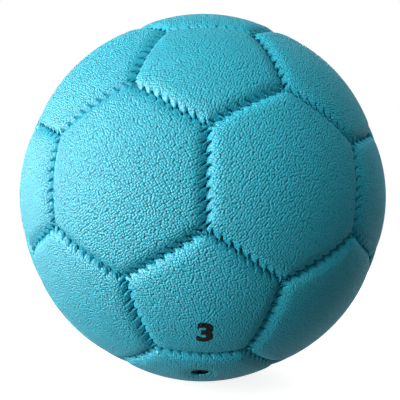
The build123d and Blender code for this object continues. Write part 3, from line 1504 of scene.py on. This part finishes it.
@dataclass
class Studio:
    """Floor, light and camera.

    Attributes:
        floor_size: Width of the floor.
        distance: Distance of the camera from the ball's centre.
        azimuth: Turn of the camera about the ball, in degrees.
        elevation: Height of the camera over the ball's centre, in degrees.
        roll: Turn of the camera about its view, in degrees.
        lens: Focal length, in millimetres.
        sensor: Width of the sensor, in millimetres.
        shift: How far the picture's middle lies from the ball's, as shares of its width.
        nearest: How near to the camera things still show.
        fill: Strength of the light from all round.
        floor_bounce: How much light the floor throws back.
        floor_rough: Roughness of the floor.
        floor_glow: How bright the floor shows where the ball's shadow is deepest; the dimmed glow there is
            painted shadow.
        shadow_depth: How strongly the shadow shows on the floor.
        shadow_core: How far from the ball's centre the floor shows the shadow in full.
        shadow_reach: How far from the ball's centre the floor may show a shadow.
        lamps: The softboxes.
    """

    floor_size: float = 8.0
    distance: float = 0.2491
    azimuth: float = -0.85
    elevation: float = -4.61
    roll: float = 1.34
    lens: float = 40.55
    sensor: float = 36.0
    shift: tuple[float, float] = (-0.0067, -0.0060)
    nearest: float = 0.01
    fill: float = 0.01
    floor_bounce: float = 0.2
    floor_rough: float = 0.9
    floor_glow: float = 0.84
    shadow_depth: float = 0.4
    shadow_core: float = 0.0875
    shadow_reach: float = 0.125
    lamps: tuple[Softbox, ...] = (
        Softbox("key_softbox", -54, 9, away=0.9, size=0.5, power=9.7),
        Softbox("top_softbox", 10, 60, away=0.9, size=0.5, power=3.0),
        Softbox("back_softbox", 172, 20, away=0.9, size=0.5, power=6.0),
        Softbox("side_sheen", -88, 6, away=0.8, size=0.6, power=22.0, is_sheen=True),
        Softbox("front_sheen", -68, 3, away=0.8, size=0.3, power=110.0, is_sheen=True),
    )

    def backdrop(self) -> None:
        """Makes the world white to the camera and in reflections, and a weak fill light otherwise."""
        world = bpy.data.worlds.new("studio")
        bpy.context.scene.world = world
        world.use_nodes = True
        graph = Graph(world.node_tree)
        strength = graph.math("MULTIPLY_ADD", graph.shown(), 1 - self.fill, self.fill)
        background = world.node_tree.nodes["Background"]
        graph.feed(background, {"Color": scaled_colour(WHITE, 1.0), "Strength": strength})

    def floor_finish(self) -> bpy.types.Material:
        """Makes the floor's white, which shows a faint shadow close to the ball: the lamps' real shadow,
        which shows because the floor's glow is dimmed there as painted shadow.

        Returns:
            The material.
        """
        material, graph, shader, place = new_material("floor_white")
        dull = {"Roughness": self.floor_rough, "Specular IOR Level": 0.0}
        graph.feed(shader, {"Base Color": scaled_colour(WHITE, self.floor_bounce), **dull})
        out = graph.add("ShaderNodeVectorMath", {0: place}, operation="LENGTH").outputs["Value"]
        # Painted shadow: the floor's glow dims from 1 far off to floor_glow close to the ball.
        glow = graph.ramp(out, self.shadow_core, self.shadow_reach, self.floor_glow, 1.0)
        white = graph.add("ShaderNodeEmission", {"Strength": glow})
        shaded = graph.add("ShaderNodeBsdfDiffuse", {"Color": scaled_colour(WHITE, self.shadow_depth)})
        pale = graph.add("ShaderNodeAddShader", {0: white.outputs[0], 1: shaded.outputs[0]})
        both = {0: graph.shown(), 1: shader.outputs[0], 2: pale.outputs[0]}
        surface = graph.add("ShaderNodeMixShader", both).outputs[0]
        graph.feed(material.node_tree.nodes["Material Output"], {"Surface": surface})
        return material

    def floor(self, height: float) -> None:
        """Lays the pale floor.

        Args:
            height: Height of the floor.
        """
        plane = bmesh.new()
        spot = Matrix.Translation((0, 0, height))
        bmesh.ops.create_grid(plane, x_segments=1, y_segments=1, size=self.floor_size / 2, matrix=spot)
        mesh = new_mesh("floor", plane)
        mesh.materials.append(self.floor_finish())
        floor = bpy.data.objects.new("floor", mesh)
        bpy.context.scene.collection.objects.link(floor)
        floor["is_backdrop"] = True

    def camera(self) -> None:
        """Sets the camera at the picture's viewing angle."""
        lens = bpy.data.cameras.new("camera")
        lens.lens = self.lens
        lens.sensor_width = self.sensor
        lens.shift_x, lens.shift_y = self.shift
        lens.clip_start = self.nearest
        camera = bpy.data.objects.new("camera", lens)
        back = direction(self.azimuth, self.elevation)
        camera.location = back * self.distance
        level = (-back).to_track_quat("-Z", "Y").to_matrix().to_4x4()
        camera.rotation_euler = (level @ Matrix.Rotation(math.radians(self.roll), 4, "Z")).to_euler()
        bpy.context.scene.collection.objects.link(camera)
        bpy.context.scene.camera = camera

    def build(self) -> None:
        """Sets up the studio."""
        bpy.context.scene.view_settings.view_transform = "Standard"
        self.backdrop()
        self.floor(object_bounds()[0].z)
        for lamp in self.lamps:
            lamp.hang()
        self.camera()


CYAN_LEATHER = Leather("cyan_leather", (0.041, 0.5, 0.655))
# The thread's colour is darker than the leather's; that darkening is painted shade for the seams.
CYAN_THREAD_WITH_PAINTED_SHADE = Yarn("cyan_thread_painted_shade", (0.028, 0.33, 0.43), pitch=0.0003, depth=0.00003, gloss=0.0)
BLACK_PRINT = Leather("black_print", (0.004, 0.004, 0.005), gloss=0.03)
BLACK_RUBBER = Rubber("black_rubber", (0.003, 0.003, 0.004), 0.0006, 0.00002, roughness=0.5, gloss=0.003)
BUTYL = Rubber("butyl", (0.02, 0.02, 0.022), pore_pitch=0.002, pore_depth=0.000035, roughness=0.6)
FOAM = Rubber("foam", (0.75, 0.73, 0.66), pore_pitch=0.0005, pore_depth=0.00014, roughness=0.85)
LINING = Yarn("lining_cloth", (0.62, 0.6, 0.55), pitch=0.0006, depth=0.00008, roughness=0.9)


def main() -> None:
    """Builds the ball and the studio."""
    valve = Valve()
    valve.find()
    cover = Cover()
    cover.build(CYAN_LEATHER, valve)
    SeamThread().build(CYAN_THREAD_WITH_PAINTED_SHADE, cover)
    Padding().build({"foam": FOAM, "lining": LINING}, cover, valve)
    SizeMark().build(BLACK_PRINT, cover)
    valve.dress(BLACK_RUBBER)
    dress_node("bladder", BUTYL.material())
    Studio().build()


if __name__ == "__main__":
    logging.basicConfig(level=logging.INFO)
    main()
